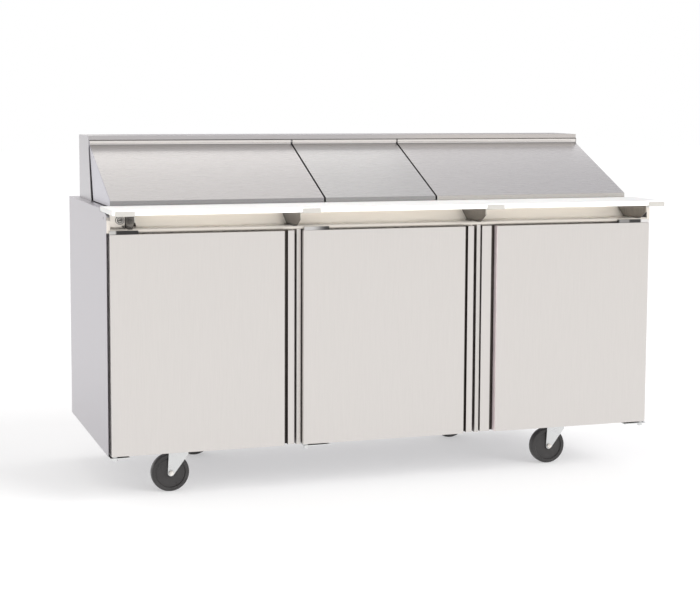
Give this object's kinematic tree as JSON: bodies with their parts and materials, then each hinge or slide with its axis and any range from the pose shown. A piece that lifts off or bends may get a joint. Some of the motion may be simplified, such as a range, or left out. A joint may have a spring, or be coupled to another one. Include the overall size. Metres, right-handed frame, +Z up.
{
  "type": "refrigerated sandwich prep table",
  "caption": "Refrigerated sandwich prep table on swivel casters, with doors, a pan rail under sloping lids and a white cutting board along the front.",
  "frame": {"origin": "on the floor, under the middle of the table's outer box, board brackets included", "axes": "+X along the table to the viewer's right as one faces the doors, +Y from the doors to the back, +Z up"},
  "size_m": [1.829, 0.8326, 1.1153],
  "materials": {
    "door_steel": "vertical brushed grain, warm grey",
    "panel_steel": "satin brushed grain, cool grey",
    "zinc": "bright zinc plate",
    "wheel_polymer": "moulded black, satin",
    "board_polymer": "white cutting board, fine texture",
    "gasket_rubber": "soft black vinyl",
    "lock_chrome": "polished",
    "coated_wire": "epoxy coated",
    "black_enamel": "satin black enamel",
    "coil_aluminium": "finned coil, mill finish"
  },
  "bodies": {
    "root": {"back_panel": "panel_steel", "board_bracket_1": "zinc", "board_bracket_2": "zinc", "board_bracket_3": "zinc", "board_bracket_4": "zinc", "caster_plate_front_left": "zinc", "caster_plate_front_right": "zinc", "caster_plate_rear_left": "zinc", "caster_plate_rear_right": "zinc", "compressor": "black_enamel", "condenser": "coil_aluminium", "cord_gland": "gasket_rubber", "deck_frame": "panel_steel", "evaporator": "coil_aluminium", "fascia": "door_steel", "floor_panel": "panel_steel", "food_pan_1": "panel_steel", "food_pan_2": "panel_steel", "food_pan_3": "panel_steel", "food_pan_4": "panel_steel", "food_pan_5": "panel_steel", "food_pan_6": "panel_steel", "hinge_bottom_centre": "zinc", "hinge_bottom_left": "zinc", "hinge_bottom_right": "zinc", "hinge_top_centre": "zinc", "hinge_top_left": "zinc", "hinge_top_right": "zinc", "hood": "panel_steel", "lock_bezel": "lock_chrome", "mullion_left": "door_steel", "mullion_right": "door_steel", "pan_grid": "panel_steel", "rear_grille": "black_enamel", "shelf_centre": "coated_wire", "shelf_left": "coated_wire", "shelf_right": "coated_wire", "side_panel_left": "panel_steel", "side_panel_right": "panel_steel"},
    "door_left_leaf": {"door_left": "door_steel", "gasket_left": "gasket_rubber"},
    "lid_left_body": {"lid_left": "door_steel"},
    "door_centre_leaf": {"door_centre": "door_steel", "gasket_centre": "gasket_rubber"},
    "lid_centre_body": {"lid_centre": "door_steel"},
    "door_right_leaf": {"door_right": "door_steel", "gasket_right": "gasket_rubber"},
    "lid_right_body": {"lid_right": "door_steel"},
    "board": {"cutting_board": "board_polymer"},
    "lock_core": {"lock_plug": "lock_chrome"},
    "fork_front_left": {"caster_fork_front_left": "zinc"},
    "wheel_front_left": {"caster_wheel_front_left": "wheel_polymer"},
    "fork_front_right": {"caster_fork_front_right": "zinc"},
    "wheel_front_right": {"caster_wheel_front_right": "wheel_polymer"},
    "fork_rear_left": {"caster_fork_rear_left": "zinc"},
    "wheel_rear_left": {"caster_wheel_rear_left": "wheel_polymer"},
    "fork_rear_right": {"caster_fork_rear_right": "zinc"},
    "wheel_rear_right": {"caster_wheel_rear_right": "wheel_polymer"},
    "condenser_rotor": {"condenser_fan": "black_enamel"},
    "evaporator_rotor": {"evaporator_fan": "black_enamel"}
  },
  "joints": [
    {"name": "door_left_hinge", "type": "hinge", "parent": "root", "child": "door_left_leaf", "pos_m": [-0.8956, -0.3174, 0.1554], "axis": [0, 0, -1], "range_deg": [0, 110], "stiffness_Nm_per_rad": 0.4, "springref_deg": -114.59},
    {"name": "door_centre_hinge", "type": "hinge", "parent": "root", "child": "door_centre_leaf", "pos_m": [-0.2894, -0.3174, 0.1554], "axis": [0, 0, -1], "range_deg": [0, 110], "stiffness_Nm_per_rad": 0.4, "springref_deg": -114.59},
    {"name": "door_right_hinge", "type": "hinge", "parent": "root", "child": "door_right_leaf", "pos_m": [0.8963, -0.3174, 0.1554], "axis": [0, 0, 1], "range_deg": [0, 110], "stiffness_Nm_per_rad": 0.4, "springref_deg": -114.59},
    {"name": "lid_left_hinge", "type": "hinge", "parent": "root", "child": "lid_left_body", "pos_m": [-0.8835, 0.1831, 1.0928], "axis": [-1, 0, 0], "range_deg": [0, 115]},
    {"name": "lid_centre_hinge", "type": "hinge", "parent": "root", "child": "lid_centre_body", "pos_m": [-0.1895, 0.1831, 1.0928], "axis": [-1, 0, 0], "range_deg": [0, 115]},
    {"name": "lid_right_hinge", "type": "hinge", "parent": "root", "child": "lid_right_body", "pos_m": [0.1939, 0.1831, 1.0928], "axis": [-1, 0, 0], "range_deg": [0, 115]},
    {"name": "board_lift", "type": "slide", "parent": "root", "child": "board", "axis": [0, 0, 1], "range_m": [0, 0.05]},
    {"name": "lock_turn", "type": "hinge", "parent": "root", "child": "lock_core", "pos_m": [-0.8665, -0.2697, 0.871], "axis": [0, 1, 0], "range_deg": [0, 90]},
    {"name": "swivel_front_left", "type": "hinge", "parent": "root", "child": "fork_front_left", "pos_m": [-0.6687, -0.1744, 0.13], "axis": [0, 0, 1], "continuous": true},
    {"name": "roll_front_left", "type": "hinge", "parent": "fork_front_left", "child": "wheel_front_left", "pos_m": [-0.6967, -0.1744, 0.061], "axis": [0, 1, 0], "continuous": true},
    {"name": "swivel_front_right", "type": "hinge", "parent": "root", "child": "fork_front_right", "pos_m": [0.6453, -0.1744, 0.13], "axis": [0, 0, 1], "continuous": true},
    {"name": "roll_front_right", "type": "hinge", "parent": "fork_front_right", "child": "wheel_front_right", "pos_m": [0.6173, -0.1744, 0.061], "axis": [0, 1, 0], "continuous": true},
    {"name": "swivel_rear_left", "type": "hinge", "parent": "root", "child": "fork_rear_left", "pos_m": [-0.4805, 0.3056, 0.13], "axis": [0, 0, 1], "continuous": true},
    {"name": "roll_rear_left", "type": "hinge", "parent": "fork_rear_left", "child": "wheel_rear_left", "pos_m": [-0.5085, 0.3056, 0.061], "axis": [0, 1, 0], "continuous": true},
    {"name": "swivel_rear_right", "type": "hinge", "parent": "root", "child": "fork_rear_right", "pos_m": [0.4805, 0.3056, 0.13], "axis": [0, 0, 1], "continuous": true},
    {"name": "roll_rear_right", "type": "hinge", "parent": "fork_rear_right", "child": "wheel_rear_right", "pos_m": [0.4525, 0.3056, 0.061], "axis": [0, 1, 0], "continuous": true},
    {"name": "condenser_fan_spin", "type": "hinge", "parent": "root", "child": "condenser_rotor", "pos_m": [0.1755, 0.3336, 0.33], "axis": [0, 1, 0], "continuous": true},
    {"name": "evaporator_fan_spin", "type": "hinge", "parent": "root", "child": "evaporator_rotor", "pos_m": [0.1255, 0.2766, 0.6], "axis": [0, 1, 0], "continuous": true}
  ]
}
